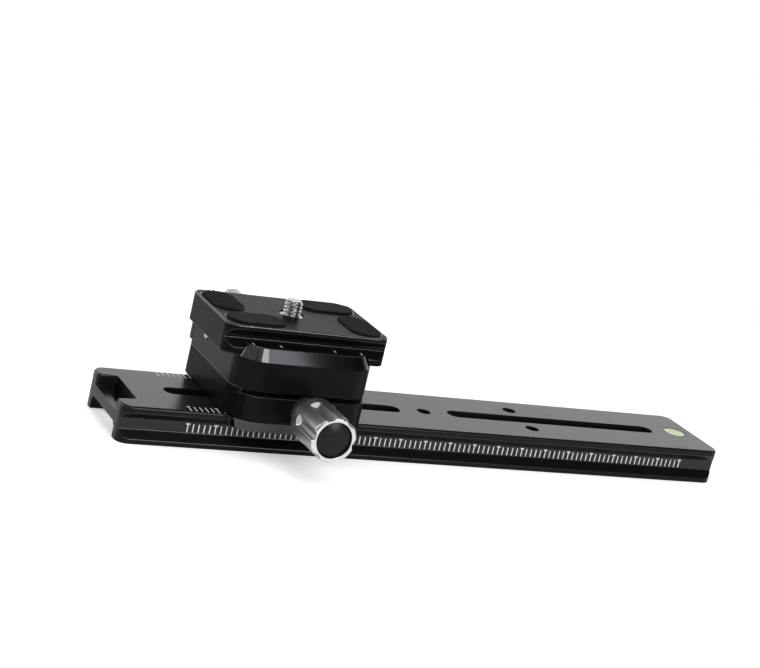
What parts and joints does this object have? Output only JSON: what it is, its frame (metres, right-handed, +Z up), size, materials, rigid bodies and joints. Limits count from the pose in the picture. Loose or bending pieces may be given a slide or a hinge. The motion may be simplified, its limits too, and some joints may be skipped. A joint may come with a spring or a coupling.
{
  "type": "nodal slide rail",
  "caption": "Long dovetail slide rail with a ruler side, slots and a bubble level, a double knob clamp that rides on it, and a camera plate with grip pads.",
  "frame": {"origin": "middle of the rail's underside, where the rail rests", "axes": "+X along the rail to the end with the bubble level, -Y towards the ruler side and the lower clamp's knob, +Z up"},
  "size_m": [0.24, 0.1054, 0.0492],
  "materials": {
    "black_anodised": "fine blasted and black anodised",
    "silver_anodised": "turned and clear anodised",
    "cap_black": "gloss",
    "steel": "turned",
    "spring_steel": "drawn wire",
    "washer_black": "satin bearing plastic",
    "pad_rubber": "matte with diagonal ribs",
    "vial_clear": "clear acrylic",
    "level_liquid": "clear liquid"
  },
  "bodies": {
    "rail": {"rail_body": "black_anodised", "level_cup": "cap_black", "level_vial": "vial_clear", "level_liquid": "level_liquid"},
    "carriage": {"lower_clamp_body": "black_anodised", "upper_clamp_body": "black_anodised", "joint_screws": "steel", "joint_dowels": "steel", "lower_jaw_springs": "spring_steel", "upper_jaw_springs": "spring_steel"},
    "lower_jaw": {"lower_jaw": "black_anodised", "lower_guide_pins": "steel"},
    "upper_jaw": {"upper_jaw": "black_anodised", "upper_guide_pins": "steel"},
    "lower_knob": {"lower_knob": "silver_anodised", "lower_knob_cap": "cap_black", "lower_clamp_screw": "steel", "lower_screw_clip": "spring_steel", "lower_thrust_washer": "washer_black"},
    "upper_knob": {"upper_knob": "silver_anodised", "upper_knob_cap": "cap_black", "upper_clamp_screw": "steel", "upper_screw_clip": "spring_steel", "upper_thrust_washer": "washer_black"},
    "plate": {"plate_body": "black_anodised", "plate_pads": "pad_rubber", "plate_stop_screw": "steel"},
    "camera_screw": {"camera_screw": "steel", "camera_screw_keeper": "spring_steel"}
  },
  "joints": [
    {"name": "carriage_slide", "type": "slide", "parent": "rail", "child": "carriage", "axis": [1, 0, 0], "range_m": [-0.035, 0.155]},
    {"name": "lower_jaw_slide", "type": "slide", "parent": "carriage", "child": "lower_jaw", "axis": [0, -1, 0], "range_m": [0, 0.0025], "deforming": ["lower_jaw_springs"]},
    {"name": "lower_knob_turn", "type": "hinge", "parent": "lower_jaw", "child": "lower_knob", "pos_m": [-0.06, -0.04, 0.0187], "axis": [0, -1, 0], "range_deg": [0, 900]},
    {"name": "upper_jaw_slide", "type": "slide", "parent": "carriage", "child": "upper_jaw", "axis": [0, 1, 0], "range_m": [0, 0.0025], "deforming": ["upper_jaw_springs"]},
    {"name": "upper_knob_turn", "type": "hinge", "parent": "upper_jaw", "child": "upper_knob", "pos_m": [-0.06, 0.04, 0.0285], "axis": [0, 1, 0], "range_deg": [0, 900]},
    {"name": "plate_slide", "type": "slide", "parent": "carriage", "child": "plate", "axis": [-1, 0, 0], "range_m": [0, 0.03]},
    {"name": "camera_screw_turn", "type": "hinge", "parent": "plate", "child": "camera_screw", "pos_m": [-0.06, 0, 0.036], "axis": [0, 0, 1], "continuous": true}
  ],
  "couplings": [
    {"joint": "lower_knob_turn", "follows": "lower_jaw_slide", "rad_per_m": 6283.2},
    {"joint": "upper_knob_turn", "follows": "upper_jaw_slide", "rad_per_m": 6283.2}
  ]
}
